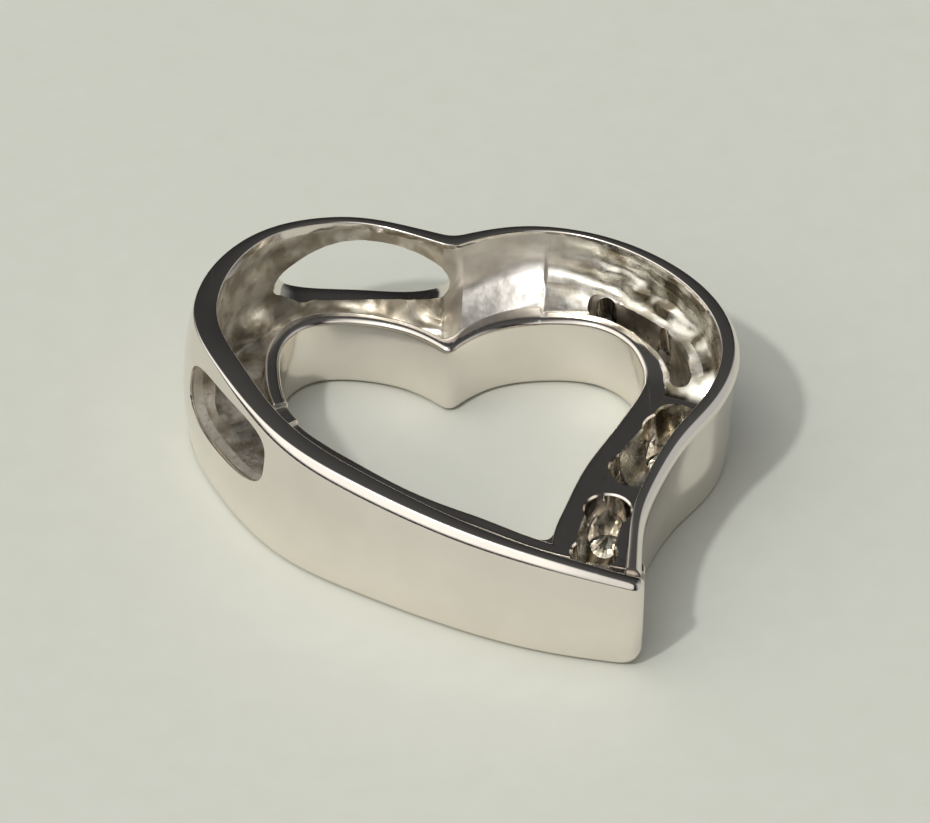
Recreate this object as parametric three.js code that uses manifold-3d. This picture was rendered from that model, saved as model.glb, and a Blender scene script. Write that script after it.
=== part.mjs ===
// A skewed open heart pendant, cast in white metal, with a row of round stones in one arm.
// It lies on its face with its hollow back up. Millimetres, +Z up, +Y towards the two lobes,
// +X towards the arm that carries the stones.

import * as THREE from 'three';
import { ConvexGeometry } from 'three/addons/geometries/ConvexGeometry.js';
import { mergeVertices } from 'three/addons/utils/BufferGeometryUtils.js';
import Module from 'manifold-3d';

const wasm = await Module();
wasm.setup();

// Main sizes of the heart.
const WIDTH = 18.2;
const LENGTH = 17.3;
const HEIGHT = 5.16;
const RIM_WIDTH = 0.75; // widest outer rim
const SWELL = 0.45; // how far the outer wall swells past its rim at most

// Plan of the ribbon. Each arm runs from the cleft to the point of the heart. A station gives the outer and
// the inner edge of the back in plan, the height and the width of the outer rim there, and the swell of the
// wall under it, all as percentages of the main sizes.
const station = (outer, inner, rim, rimWidth, swell) => ({
  outer: [(outer[0] / 100) * WIDTH, (outer[1] / 100) * LENGTH],
  inner: [(inner[0] / 100) * WIDTH, (inner[1] / 100) * LENGTH],
  rim: (rim / 100) * HEIGHT,
  rimWidth: (rimWidth / 100) * RIM_WIDTH,
  swell: (swell / 100) * SWELL,
});

const PLAIN_ARM = [
  station([-2.2, 42.5], [-2.7, 22.3], 93, 73, 67),
  station([-11.5, 46], [-10.4, 28.6], 94, 53, 78),
  station([-23.1, 48], [-22, 31.8], 95, 40, 89),
  station([-35.7, 43.6], [-29.1, 30.1], 96.9, 53, 100),
  station([-44.5, 33.5], [-32.7, 24.9], 97.9, 80, 100),
  station([-48.4, 17.3], [-33.2, 16.8], 98.8, 100, 100),
  station([-44, 1.7], [-31.6, 7.5], 99.8, 100, 100),
  station([-34.1, -15], [-25.3, -2.3], 95, 87, 100),
  station([-19.8, -26.9], [-12.6, -15.3], 86.2, 73, 100),
  station([-0.5, -37.9], [4.4, -26], 77.5, 56, 100),
  station([16.5, -44.8], [19.8, -32.9], 71.7, 43, 89),
  station([28.6, -47.9], [29.1, -35.8], 65.1, 40, 71),
];

const STONE_ARM = [
  station([-2.2, 42.5], [-2.7, 22.3], 93, 73, 67),
  station([6.6, 45.7], [4.4, 28.9], 92.1, 47, 56),
  station([16.5, 46.2], [14.8, 31.5], 91.1, 33, 44),
  station([27.5, 42.5], [23.6, 30.3], 91.1, 40, 33),
  station([39, 34.1], [29.4, 25.4], 89.1, 53, 22),
  station([46.4, 22], [31.9, 19.7], 88.2, 60, 11),
  station([48.1, 9.8], [32.1, 14.5], 87.2, 56, 0),
  station([44.8, -1.7], [29.7, 7.5], 84.3, 49, 0),
  station([38.5, -11.6], [25, -2], 80.4, 45, 0),
  station([33.5, -21.7], [20.6, -11.6], 75.6, 43, 0),
  station([30.5, -31.2], [17.3, -21.7], 71.7, 41, 0),
  station([29.7, -38.7], [15.1, -30.9], 67.8, 40, 0),
  station([29.4, -43.9], [15.7, -40.8], 64.9, 40, 0),
];

// Walls and face of the casting.
const INNER_RIM = 2.7; // height of the wall round the open heart
const INNER_RIM_WIDTH = 0.5;
const INNER_EASE = 0.12; // broken corner of that wall
const CHAMFER_DROP = 0.28; // bright bevel along the outer rim
const CHAMFER_OUT = 0.2;
const SWELL_SHARE = 0.4; // the outer wall swells most at this share of the rim's height
const FOOT_TUCK = 0.12; // how far the wall draws in again above the face
const FACE_EDGE = 0.3; // rounding between the face and the walls
const TIP_ROUND = 0.45; // rounding of the band's free end at the point
const TIP_RIM = 0.05; // width of the rim that is left there
const STUB_START = 17; // the stone arm's end beyond here runs into the plain band
const STUB_LAP = 0.6;
const STUB_INSET = 0.02;

// Hollows in the back. Each ends at a distance along the middle of the ribbon from the cleft, and has the
// place and height of the feet of its outer and its inner wall, and the width of the rim beside it.
const LOBE = { end: 11.9, outer: [0.15, 0.75], inner: [0.7, 0.75], innerRim: 0.5 };
const RECESS = { end: 3.35, outer: [0.5, 3.5], inner: [1.05, 2.1], innerRim: 0.85 }; // ramp beside the cleft
const SETTING = { end: 11.2, outer: [0.5, 3.2], inner: [0.62, 2.6], innerRim: 0.5 }; // behind the stones
const RECESS_LIFT = 0.3; // the ramp's middle is this much higher than its end at the cleft
const PLATE = 2.5; // flat back of the lower arm
const PLATE_START = 11.0;
const POCKET_FLOOR = 1.0;
// A pocket joins the seats from its first stone to its last. Shares of the stones' widths: how far it runs
// past their middles, its own width, and the narrowest part and the open back of its seats.
const POCKETS = [
  { first: 0, last: 2, past: [0.3, 0.3], wide: 0.34, neck: 0.5, flare: 0.54 },
  { first: 3, last: 4, past: [0.7, 0.52], wide: 0.75, neck: 0.8, flare: 0.9 },
  { first: 5, last: 6, past: [0.31, 0.3], wide: 0.75, neck: 0.8, flare: 0.9 },
];
const SCOOP = 0.25; // broken corners where a floor meets its walls
const HOLLOW_BITE = 0.06; // the hollows leave the rims this much narrower
const BACK_PAST = 1.2; // seats and pockets are cut this far past the plate
const STEP_RUN = 0.05; // length of the step between the ramp and the stones' floor
const FILLET = 0.55; // fillet between the two arms in the open heart

// Slots that the chain runs through, as distances along the outer rim from the cleft.
// A higher power makes the oval squarer, and its tilt is its rise along the rim.
const TOP_SLOT = { at: 3.05, length: 5.9, height: 2.6, middle: 2.85, tilt: -0.05, power: 2, reach: 2 };
const SIDE_SLOT = { at: 15.55, length: 5.1, height: 2.35, middle: 3.45, tilt: 0.05, power: 3.2, reach: 1.5 };
const SLOT_LEAD = 1.6; // how far a slot's cut starts outside the wall

// Round stones, from the lobe to the point.
const STONE_COUNT = 7;
const STONE_LARGE = 2.0;
const STONE_SMALL = 1.6;
const STONE_GAP = 0.52;
const FIRST_STONE = 5.5; // middle of the first stone, along the ribbon from the cleft
const STONE_SINK = 0.35; // tables lie this far behind the face
const TABLE_SHARE = 0.57; // table, stars, halves, crown, girdle and pavilion as shares of a stone's width
const STAR_SHARE = 0.82;
const HALF_SHARE = 0.26;
const CROWN_SHARE = 0.15;
const GIRDLE_SHARE = 0.03;
const PAVILION_SHARE = 0.43;
const SEAT_CLEARANCE = 0.05;

// Fineness of the curves and cuts.
const SPAN_STEPS = 5; // sections between two stations
const MEASURE_STEPS = 40; // steps between two stations when a distance is measured
const WALL_SHARES = [0.3, 0.65, 1]; // rows of points down the swelling wall
const EDGE_STEPS = 3;
const TIP_SHARES = [0.4, 0.75, 1];
const SLOT_STEPS = 28;
const SEAT_SIDES = 20;
const PAST = 0.6; // how far cuts run past the metal
const POCKET_STEPS = 16;
const FILLET_STEPS = 5;
const FILLET_SEARCH = 60;
const MERGE = 1e-5;

const WHITE_METAL = new THREE.MeshStandardMaterial({ color: 0xd9d5cd, roughness: 0.14, metalness: 1 });
const CLEAR_STONE = new THREE.MeshStandardMaterial({ color: 0xdcdccf, roughness: 0.03, metalness: 0 });

// A solid from a closed geometry.
function toSolid(geometry) {
  geometry.deleteAttribute('normal');
  geometry.deleteAttribute('uv');
  const merged = mergeVertices(geometry, MERGE);
  const vertProperties = new Float32Array(merged.attributes.position.array);
  const triVerts = new Uint32Array(merged.index.array);
  return new wasm.Manifold(new wasm.Mesh({ numProp: 3, vertProperties, triVerts }));
}

// The geometry of a solid.
function toGeometry(solid) {
  const { vertProperties, triVerts } = solid.getMesh();
  const geometry = new THREE.BufferGeometry();
  geometry.setAttribute('position', new THREE.BufferAttribute(vertProperties, 3));
  geometry.setIndex(new THREE.BufferAttribute(triVerts, 1));
  return geometry;
}

// An arm of the ribbon as smooth curves through its stations.
function ribbon(stations) {
  const outer = new THREE.CatmullRomCurve3(stations.map((s) => new THREE.Vector3(...s.outer, s.rim)));
  const inner = new THREE.CatmullRomCurve3(stations.map((s) => new THREE.Vector3(...s.inner, s.rimWidth)));
  const swells = new THREE.CatmullRomCurve3(stations.map((s) => new THREE.Vector3(s.swell, 0, 0)));

  // The section at t: its outer point, the direction and the width to its inner point, and its rim.
  const at = (t) => {
    const o = outer.getPoint(t);
    const i = inner.getPoint(t);
    const across = new THREE.Vector2(i.x - o.x, i.y - o.y);
    const width = across.length();
    const swell = swells.getPoint(t).x;
    return { x: o.x, y: o.y, width, across: across.normalize(), rim: o.z, rimWidth: i.z, swell };
  };

  // Where a line that lies the given share across the ribbon has run a distance from the cleft.
  const measure = (share) => {
    const rows = [{ t: 0, run: 0, point: pointAcross(at(0), share) }];
    const count = (stations.length - 1) * MEASURE_STEPS;
    for (let k = 1; k <= count; k++) {
      const point = pointAcross(at(k / count), share);
      const before = rows[k - 1];
      rows.push({ t: k / count, run: before.run + point.distanceTo(before.point), point });
    }
    return (distance) => {
      const k = rows.findIndex((row) => row.run >= distance);
      if (k < 1) {
        return k < 0 ? 1 : 0;
      }
      return THREE.MathUtils.mapLinear(distance, rows[k - 1].run, rows[k].run, rows[k - 1].t, rows[k].t);
    };
  };
  const atRim = measure(0);
  const atMiddle = measure(0.5);

  // Sections from one distance to another, at the smooth curve's own steps.
  const steps = (stations.length - 1) * SPAN_STEPS;
  const sections = (from, to) => {
    const [start, end] = [atMiddle(from), atMiddle(to)];
    const even = Array.from({ length: steps + 1 }, (_, k) => k / steps);
    return [start, ...even.filter((t) => t > start && t < end), end].map(at);
  };
  return { at, atRim, atMiddle, sections };
}

function pointAcross(section, share) {
  return new THREE.Vector2(section.x, section.y).addScaledVector(section.across, section.width * share);
}

// A body lofted through rings. Each ring has its section and its points across (u) and up (z).
function loft(rings) {
  const count = rings[0].points.length;
  const positions = rings.flatMap(({ section, points, shift = 0 }) => points.flatMap(([u, z]) => [
    section.x + section.across.x * u + section.across.y * shift,
    section.y + section.across.y * u - section.across.x * shift,
    z,
  ]));
  const index = [];
  for (let r = 0; r + 1 < rings.length; r++) {
    for (let k = 0; k < count; k++) {
      const a = r * count + k;
      const b = r * count + (k + 1) % count;
      index.push(a, b, b + count, a, b + count, a + count);
    }
  }
  const addCap = (ring, first, flip) => {
    const contour = ring.points.map(([u, z]) => new THREE.Vector2(u, z));
    for (const [a, b, c] of THREE.ShapeUtils.triangulateShape(contour, [])) {
      index.push(first + a, first + (flip ? c : b), first + (flip ? b : c));
    }
  };
  const forward = THREE.ShapeUtils.area(rings[0].points.map(([x, y]) => ({ x, y }))) > 0;
  addCap(rings[0], 0, forward);
  addCap(rings.at(-1), (rings.length - 1) * count, !forward);

  const geometry = new THREE.BufferGeometry();
  geometry.setAttribute('position', new THREE.Float32BufferAttribute(positions, 3));
  geometry.setIndex(index);
  return outward(geometry);
}

// The same geometry with its faces pointing out.
function outward(geometry) {
  const p = geometry.attributes.position;
  const index = geometry.index.array;
  const [a, b, c] = [new THREE.Vector3(), new THREE.Vector3(), new THREE.Vector3()];
  let volume = 0;
  for (let k = 0; k < index.length; k += 3) {
    a.fromBufferAttribute(p, index[k]);
    b.fromBufferAttribute(p, index[k + 1]);
    c.fromBufferAttribute(p, index[k + 2]);
    volume += a.dot(b.cross(c));
  }
  if (volume < 0) {
    for (let k = 0; k < index.length; k += 3) {
      [index[k + 1], index[k + 2]] = [index[k + 2], index[k + 1]];
    }
  }
  return geometry;
}

// Points of a quarter round from one point to another, about the corner that it rounds off.
function quarter(from, corner, to, steps) {
  return Array.from({ length: steps + 1 }, (_, k) => {
    const angle = (k / steps) * Math.PI / 2;
    const [near, far] = [1 - Math.sin(angle), 1 - Math.cos(angle)];
    return [0, 1].map((d) => corner[d] + (from[d] - corner[d]) * near + (to[d] - corner[d]) * far);
  });
}

// The solid section of the ribbon, drawn in all round by an inset.
function ribbonRing(section, inset = 0) {
  const rim = section.rim - inset;
  const inner = section.width - inset;
  const innerRim = INNER_RIM - inset;
  const shoulder = rim - CHAMFER_DROP;
  const wall = WALL_SHARES.map((share) => [
    inset - THREE.MathUtils.lerp(CHAMFER_OUT, section.swell, 1 - (1 - share) ** 2),
    THREE.MathUtils.lerp(shoulder, SWELL_SHARE * section.rim, share),
  ]);
  const foot = inset - section.swell + FOOT_TUCK;
  return [
    [inset, rim],
    [inset - CHAMFER_OUT, shoulder],
    ...wall,
    ...quarter([foot, inset + FACE_EDGE], [foot, inset], [foot + FACE_EDGE, inset], EDGE_STEPS),
    ...quarter([inner - FACE_EDGE, inset], [inner, inset], [inner, inset + FACE_EDGE], EDGE_STEPS),
    [inner, innerRim - INNER_EASE],
    [inner - INNER_EASE, innerRim],
    [inner - INNER_RIM_WIDTH, innerRim],
    [Math.max(section.rimWidth, inset + TIP_RIM), rim],
  ];
}

// Two points that break the corner between its neighbours.
function brokenCorner(before, corner, after) {
  const [a, b, c] = [before, corner, after].map((p) => new THREE.Vector2(...p));
  return [a, c].map((end) => b.clone().add(end.sub(b).setLength(SCOOP)).toArray());
}

// The section of a hollow between the outer and the inner wall, open at the back.
function hollowRing(section, { outer, inner, innerRim }, lift) {
  const open = section.rim + PAST;
  const outerTop = [section.rimWidth - HOLLOW_BITE, section.rim];
  const innerTop = [section.width - innerRim + HOLLOW_BITE, INNER_RIM];
  const outerFoot = [outer[0], outer[1] + lift];
  const innerFoot = [section.width - inner[0], inner[1] + lift];
  return [
    [outerTop[0], open],
    outerTop,
    ...brokenCorner(outerTop, outerFoot, innerFoot),
    innerFoot,
    innerTop,
    [innerTop[0], open],
  ];
}

// The section of the cut that leaves a flat plate beside the outer wall.
function plateRing(section, level) {
  const outerTop = section.rimWidth - HOLLOW_BITE;
  const open = section.rim + PAST;
  const past = section.width + PAST;
  return [[outerTop, open], [outerTop, level], [past, level], [past, open]];
}

// A chain slot: an oval cut square through the outer wall.
function slotCut(arm, { at, length, height, middle, tilt, power, reach }) {
  const section = arm.at(arm.atRim(at));
  const before = arm.at(arm.atRim(at - length / 4));
  const after = arm.at(arm.atRim(at + length / 4));
  const inward = new THREE.Vector3(before.y - after.y, after.x - before.x, 0).normalize();
  if (inward.x * section.across.x + inward.y * section.across.y < 0) {
    inward.negate();
  }
  const outline = Array.from({ length: SLOT_STEPS }, (_, k) => {
    const angle = (k / SLOT_STEPS) * Math.PI * 2;
    const [across, up] = [Math.cos(angle), Math.sin(angle)]
      .map((value) => Math.sign(value) * Math.abs(value) ** (2 / power));
    return new THREE.Vector2(across * length / 2, up * height / 2);
  });
  const depth = SLOT_LEAD + reach;
  const cut = new THREE.ExtrudeGeometry(new THREE.Shape(outline), { depth, bevelEnabled: false });
  const up = new THREE.Vector3(0, 0, 1);
  const along = new THREE.Vector3().crossVectors(up, inward);
  const onward = along.x * (after.x - before.x) + along.y * (after.y - before.y);
  along.z = tilt * Math.sign(onward);
  const origin = new THREE.Vector3(section.x, section.y, middle).addScaledVector(inward, -SLOT_LEAD);
  cut.applyMatrix4(new THREE.Matrix4().makeBasis(along, up, inward).setPosition(origin));
  return toSolid(cut);
}

// The stones' sizes and places in plan, from the lobe to the point.
function placeStones(arm) {
  const stones = [];
  let run = FIRST_STONE;
  for (let k = 0; k < STONE_COUNT; k++) {
    const diameter = THREE.MathUtils.lerp(STONE_LARGE, STONE_SMALL, k / (STONE_COUNT - 1));
    run += k > 0 ? (stones[k - 1].diameter + diameter) / 2 + STONE_GAP : 0;
    const section = arm.at(arm.atMiddle(run));
    const { x, y } = pointAcross(section, 0.5);
    const { neck, flare } = POCKETS.find(({ first, last }) => k >= first && k <= last);
    stones.push({ diameter, run, x, y, across: section.across, neck, flare });
  }
  return stones;
}

// Heights of a stone's table, girdle and point, table down.
function stoneLevels(diameter) {
  const girdle = STONE_SINK + CROWN_SHARE * diameter;
  const pavilion = girdle + GIRDLE_SHARE * diameter;
  return { table: STONE_SINK, girdle, pavilion, point: pavilion + PAVILION_SHARE * diameter };
}

// A round brilliant: table, stars and kites, girdle, halves, mains and point.
function brilliant(diameter) {
  const radius = diameter / 2;
  const { table, girdle, pavilion, point } = stoneLevels(diameter);
  const half = Math.PI / 8;
  const tableRadius = TABLE_SHARE * radius;
  const starRadius = STAR_SHARE * radius;
  const starRise = (radius - starRadius * Math.cos(half)) / (radius - tableRadius);
  const halfRadius = HALF_SHARE * radius;
  const halfRise = 1 - (halfRadius * Math.cos(half)) / radius;
  const points = [new THREE.Vector3(0, 0, point)];
  const add = (r, angle, z) => points.push(new THREE.Vector3(r * Math.cos(angle), r * Math.sin(angle), z));
  for (let k = 0; k < 8; k++) {
    const main = 2 * half * k;
    add(tableRadius, main, table);
    add(starRadius, main + half, THREE.MathUtils.lerp(girdle, table, starRise));
    for (const angle of [main, main + half]) {
      add(radius, angle, girdle);
      add(radius, angle, pavilion);
    }
    add(halfRadius, main + half, THREE.MathUtils.lerp(pavilion, point, halfRise));
  }
  const geometry = new ConvexGeometry(points);
  geometry.deleteAttribute('normal');
  return mergeVertices(geometry, MERGE);
}

// The cut that seats a stone: straight to the girdle, a cone under the pavilion, then flared to the back.
function seatCut({ diameter, x, y, ...shares }) {
  const { pavilion, point } = stoneLevels(diameter);
  const radius = diameter / 2 + SEAT_CLEARANCE;
  const [neck, flare] = [shares.neck, shares.flare].map((share) => (diameter * share) / 2);
  const neckTop = THREE.MathUtils.mapLinear(neck, radius, 0, pavilion, point + SEAT_CLEARANCE);
  const top = PLATE + BACK_PAST;
  const profile = [
    [0, -PAST],
    [radius, -PAST],
    [radius, pavilion],
    [neck, neckTop],
    [flare, PLATE],
    [flare, top],
    [0, top],
  ];
  const cut = new THREE.LatheGeometry(profile.map((p) => new THREE.Vector2(...p)), SEAT_SIDES);
  cut.rotateX(Math.PI / 2);
  cut.translate(x, y, 0);
  cut.deleteAttribute('normal');
  cut.deleteAttribute('uv');
  return toSolid(outward(mergeVertices(cut, MERGE)));
}

const plainArm = ribbon(PLAIN_ARM);
const stoneArm = ribbon(STONE_ARM);

// The ribbon from the lower stone arm, over both lobes, to the plain band's free end.
function ribbonSolid() {
  const plain = plainArm.sections(0, Infinity);
  const chain = [...stoneArm.sections(0, STUB_START).reverse(), ...plain.slice(1)];
  const rings = chain.map((section) => ({ section, points: ribbonRing(section) }));
  const section = plain.at(-1);
  for (const share of TIP_SHARES) {
    const inset = TIP_ROUND * (1 - Math.sqrt(1 - share ** 2));
    rings.push({ section, points: ribbonRing(section, inset), shift: TIP_ROUND * share });
  }
  return toSolid(loft(rings));
}

// The end of the stone arm that runs into the plain band at the point.
function stubSolid() {
  const sections = stoneArm.sections(STUB_START - STUB_LAP, Infinity);
  return toSolid(loft(sections.map((section) => ({ section, points: ribbonRing(section, STUB_INSET) }))));
}

// The hollow back of both lobes, with a step between the ramp beside the cleft and the stones' floor.
function hollowCut() {
  const hollowed = (sections, hollow, from, to) => sections.map((section, k) => {
    const lift = THREE.MathUtils.lerp(from, to, k / (sections.length - 1));
    return { section, points: hollowRing(section, hollow, lift) };
  });
  return toSolid(loft([
    ...hollowed(stoneArm.sections(RECESS.end + STEP_RUN, SETTING.end).reverse(), SETTING, 0, 0),
    ...hollowed(stoneArm.sections(0, RECESS.end).reverse(), RECESS, RECESS_LIFT, -RECESS_LIFT),
    ...hollowed(plainArm.sections(0, LOBE.end).slice(1), LOBE, 0, 0),
  ]));
}

function plateCut(end, level) {
  const sections = stoneArm.sections(PLATE_START, end);
  return toSolid(loft(sections.map((section) => ({ section, points: plateRing(section, level) }))));
}

// A pocket with rounded ends that joins the seats of some stones.
function pocketCut({ first, last, past, wide }) {
  const from = stones[first].run - past[0] * stones[first].diameter;
  const to = stones[last].run + past[1] * stones[last].diameter;
  const half = (wide * stones[first].diameter) / 2;
  const rings = Array.from({ length: POCKET_STEPS + 1 }, (_, k) => {
    const run = (from + to) / 2 - (Math.cos((k / POCKET_STEPS) * Math.PI) * (to - from)) / 2;
    const gap = Math.min(run - from, to - run, half);
    const side = Math.max(Math.sqrt(Math.max(half ** 2 - (half - gap) ** 2, 0)), SEAT_CLEARANCE);
    const section = stoneArm.at(stoneArm.atMiddle(run));
    const [near, far] = [section.width / 2 - side, section.width / 2 + side];
    const top = PLATE + BACK_PAST;
    return { section, points: [[near, top], [near, POCKET_FLOOR], [far, POCKET_FLOOR], [far, top]] };
  });
  return toSolid(loft(rings));
}

// A column with one hollow side that rounds the corner of the open heart between the two arms.
function filletSolid() {
  const edge = (arm, k) => pointAcross(arm.at(1 - k / (3 * FILLET_SEARCH)), 1);
  const indices = Array.from({ length: FILLET_SEARCH }, (_, k) => k);
  const pairs = indices.flatMap((a) => indices.map((b) => [a, b]));
  const gap = ([a, b]) => edge(plainArm, a).distanceTo(edge(stoneArm, b));
  const [a, b] = pairs.reduce((best, pair) => (gap(pair) < gap(best) ? pair : best));
  const corner = edge(plainArm, a).lerp(edge(stoneArm, b), 0.5);
  const ways = [edge(plainArm, a + 10), edge(stoneArm, b + 10)].map((p) => p.sub(corner).setLength(FILLET));
  const arc = Array.from({ length: FILLET_STEPS + 1 }, (_, k) => {
    const share = k / FILLET_STEPS;
    return corner.clone().addScaledVector(ways[0], (1 - share) ** 2).addScaledVector(ways[1], share ** 2);
  });
  const inside = corner.clone().sub(ways[0]).sub(ways[1]);
  const outline = [arc[0].clone().sub(ways[1]), ...arc, arc.at(-1).clone().sub(ways[0]), inside];
  const depth = PLATE - FACE_EDGE;
  const column = new THREE.ExtrudeGeometry(new THREE.Shape(outline), { depth, bevelEnabled: false });
  column.translate(0, 0, FACE_EDGE / 2);
  return toSolid(column);
}

const stones = placeStones(stoneArm);
const stub = stubSolid().subtract(plateCut(Infinity, PLATE - STUB_INSET));
let frame = ribbonSolid()
  .subtract(plateCut(STUB_START + STUB_LAP, PLATE))
  .add(stub)
  .add(filletSolid())
  .subtract(hollowCut())
  .subtract(slotCut(plainArm, TOP_SLOT))
  .subtract(slotCut(plainArm, SIDE_SLOT));
for (const cut of [...POCKETS.map(pocketCut), ...stones.map(seatCut)]) {
  frame = frame.subtract(cut);
}

const pendant = new THREE.Group();
const casting = new THREE.Mesh(toGeometry(frame), WHITE_METAL);
casting.name = 'heart_frame';
pendant.add(casting);

stones.forEach(({ diameter, x, y, across }, k) => {
  const stone = new THREE.Mesh(brilliant(diameter), CLEAR_STONE);
  stone.name = `stone_${k + 1}`;
  stone.position.set(x, y, 0);
  stone.rotation.z = Math.atan2(across.y, across.x);
  pendant.add(stone);
});

// The origin lies under the middle of the whole part, on the plane that its face rests on.
const middle = new THREE.Box3().setFromObject(pendant).getCenter(new THREE.Vector3());
for (const piece of pendant.children) {
  piece.position.x -= middle.x;
  piece.position.y -= middle.y;
}

export default pendant;
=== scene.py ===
# %% [markdown]
# # A ribbon heart pendant, lying on its face
# The pendant is one casting of polished white metal with a row of round stones set in its right arm.
# It lies face down, so the picture looks into the hollow back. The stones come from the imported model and
# only get a finish here. The casting is modelled again from the same plan, because polished metal shows
# every facet: its walls need smooth curves, rounded edges and the uneven skin that casting leaves.

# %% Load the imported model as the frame
import math

import bmesh
import bpy
import numpy as np
from mathutils import Matrix, Vector, noise


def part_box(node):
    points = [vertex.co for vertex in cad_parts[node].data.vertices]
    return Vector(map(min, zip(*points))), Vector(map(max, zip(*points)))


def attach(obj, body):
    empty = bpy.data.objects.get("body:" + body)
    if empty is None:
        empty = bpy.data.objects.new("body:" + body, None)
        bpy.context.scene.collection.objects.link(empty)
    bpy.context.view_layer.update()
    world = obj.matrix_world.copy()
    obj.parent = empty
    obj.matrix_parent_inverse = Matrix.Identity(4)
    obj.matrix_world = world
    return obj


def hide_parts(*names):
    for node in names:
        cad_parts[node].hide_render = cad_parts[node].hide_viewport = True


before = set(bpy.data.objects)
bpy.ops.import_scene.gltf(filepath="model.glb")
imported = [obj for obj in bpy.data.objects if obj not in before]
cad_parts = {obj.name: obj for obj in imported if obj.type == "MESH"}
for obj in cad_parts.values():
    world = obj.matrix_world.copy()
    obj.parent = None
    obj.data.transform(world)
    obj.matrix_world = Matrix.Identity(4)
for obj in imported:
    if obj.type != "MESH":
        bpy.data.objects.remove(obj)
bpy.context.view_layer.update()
MM = 0.001
print("nodes:", sorted(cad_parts))

# %% [markdown]
# ## The camera
# The photograph looks down at the back from in front of the point, about 40 degrees above the table, with
# a long lens: the far lobes are hardly smaller than the near band. The camera aims a little past the
# middle, because the heart sits low in the picture.

# %% Camera at the photograph's angle
ELEVATION = math.radians(40)
DISTANCE = 170 * MM
AIM = Vector((0.17, 3.963, 0)) * MM
PHOTO_WIDTH = 930
FOCAL_PIXELS = 5100
SENSOR = 36
NEAREST, FARTHEST = 0.01, 10

scene = bpy.context.scene
lens = bpy.data.cameras.new("camera")
lens.sensor_width = SENSOR
lens.lens = FOCAL_PIXELS / PHOTO_WIDTH * SENSOR
lens.clip_start, lens.clip_end = NEAREST, FARTHEST
camera = bpy.data.objects.new("camera", lens)
towards_camera = Vector((0, -math.cos(ELEVATION), math.sin(ELEVATION)))
camera.location = AIM + towards_camera * DISTANCE
camera.rotation_euler = (-towards_camera).to_track_quat("-Z", "Y").to_euler()
scene.collection.objects.link(camera)
scene.camera = camera
scene.view_settings.view_transform = "Standard"
print("lens", round(lens.lens, 1), "mm")

# %% [markdown]
# ## A few short words for nodes
# Materials and the room are built from the same handful of nodes, so each gets a short function: a noise in
# the object's own coordinates, a ramp from one range of values to another, a mix of two colours, a
# calculation, and the distance in a direction.

# %% Helpers for node trees
# The values that a noise mostly takes.
NOISE_SPREAD = 0.3, 0.7


def wire(tree, source, output, target, socket):
    tree.links.new(source.outputs[output], target.inputs[socket])


def noise_node(tree, detail, scale):
    """A noise in the object's own coordinates."""
    where = tree.nodes.new("ShaderNodeTexCoord")
    made = tree.nodes.new("ShaderNodeTexNoise")
    made.inputs["Detail"].default_value = detail
    made.inputs["Scale"].default_value = scale
    wire(tree, where, "Object", made, "Vector")
    return made


def ramp(tree, source, output, from_min, from_max, to_min, to_max, smooth=False):
    """Maps another node's value from one range to another."""
    made = tree.nodes.new("ShaderNodeMapRange")
    made.inputs["From Min"].default_value = from_min
    made.inputs["From Max"].default_value = from_max
    made.inputs["To Min"].default_value = to_min
    made.inputs["To Max"].default_value = to_max
    if smooth:
        made.interpolation_type = "SMOOTHSTEP"
    wire(tree, source, output, made, "Value")
    return made


def colour_mix(tree, first, second):
    made = tree.nodes.new("ShaderNodeMix")
    made.data_type = "RGBA"
    made.inputs["A"].default_value = (*first, 1)
    made.inputs["B"].default_value = (*second, 1)
    return made


def math_node(tree, operation, *terms):
    """A calculation on other nodes, each given with the name of its output."""
    made = tree.nodes.new("ShaderNodeMath")
    made.operation = operation
    for k, (source, output) in enumerate(terms):
        wire(tree, source, output, made, k)
    return made


def distance_node(tree, coordinates, towards):
    """How far a place lies in a direction."""
    where = tree.nodes.new("ShaderNodeTexCoord")
    made = tree.nodes.new("ShaderNodeVectorMath")
    made.operation = "DOT_PRODUCT"
    made.inputs[1].default_value = towards
    wire(tree, where, coordinates, made, 0)
    return made


print("helpers are ready")

# %% [markdown]
# ## A shared skin for the metal
# Polished metal isn't the same everywhere: polishing leaves a slow waviness, a faint grain and hairline
# scratches, and the casting's inside keeps a coarser version of the first two. One node group makes all
# three as plain values, so that each finish can place it with its own scales and decide what they change.
# Hairlines are a noise that is stretched a lot and cut off so high that only thin streaks remain.

# %% The skin as a node group
SCRATCH_TURN = 0.4, 0.3, 0.9
SCRATCH_STRETCH = 7000, 260, 5200
SCRATCH_CUT = 0.68, 0.74


def value_socket(group, name, default=None):
    """A value socket of a node group: an input with a default, or else an output."""
    way = "OUTPUT" if default is None else "INPUT"
    socket = group.interface.new_socket(name=name, in_out=way, socket_type="NodeSocketFloat")
    if default is not None:
        socket.default_value = default


skin_group = bpy.data.node_groups.new("metal skin", "ShaderNodeTree")
value_socket(skin_group, "Wave Scale", 500)
value_socket(skin_group, "Grain Scale", 9000)
for name in ("Wave", "Grain", "Scratches"):
    value_socket(skin_group, name)
entry = skin_group.nodes.new("NodeGroupInput")
leave = skin_group.nodes.new("NodeGroupOutput")
wave = noise_node(skin_group, 2, 1)
grain = noise_node(skin_group, 5, 1)
wire(skin_group, entry, "Wave Scale", wave, "Scale")
wire(skin_group, entry, "Grain Scale", grain, "Scale")
place_node = skin_group.nodes.new("ShaderNodeTexCoord")
stretch = skin_group.nodes.new("ShaderNodeMapping")
stretch.inputs["Rotation"].default_value = SCRATCH_TURN
stretch.inputs["Scale"].default_value = SCRATCH_STRETCH
wire(skin_group, place_node, "Object", stretch, "Vector")
hair = noise_node(skin_group, 1, 1)
wire(skin_group, stretch, "Vector", hair, "Vector")
thin = ramp(skin_group, hair, "Fac", *SCRATCH_CUT, 0, 1)
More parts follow.
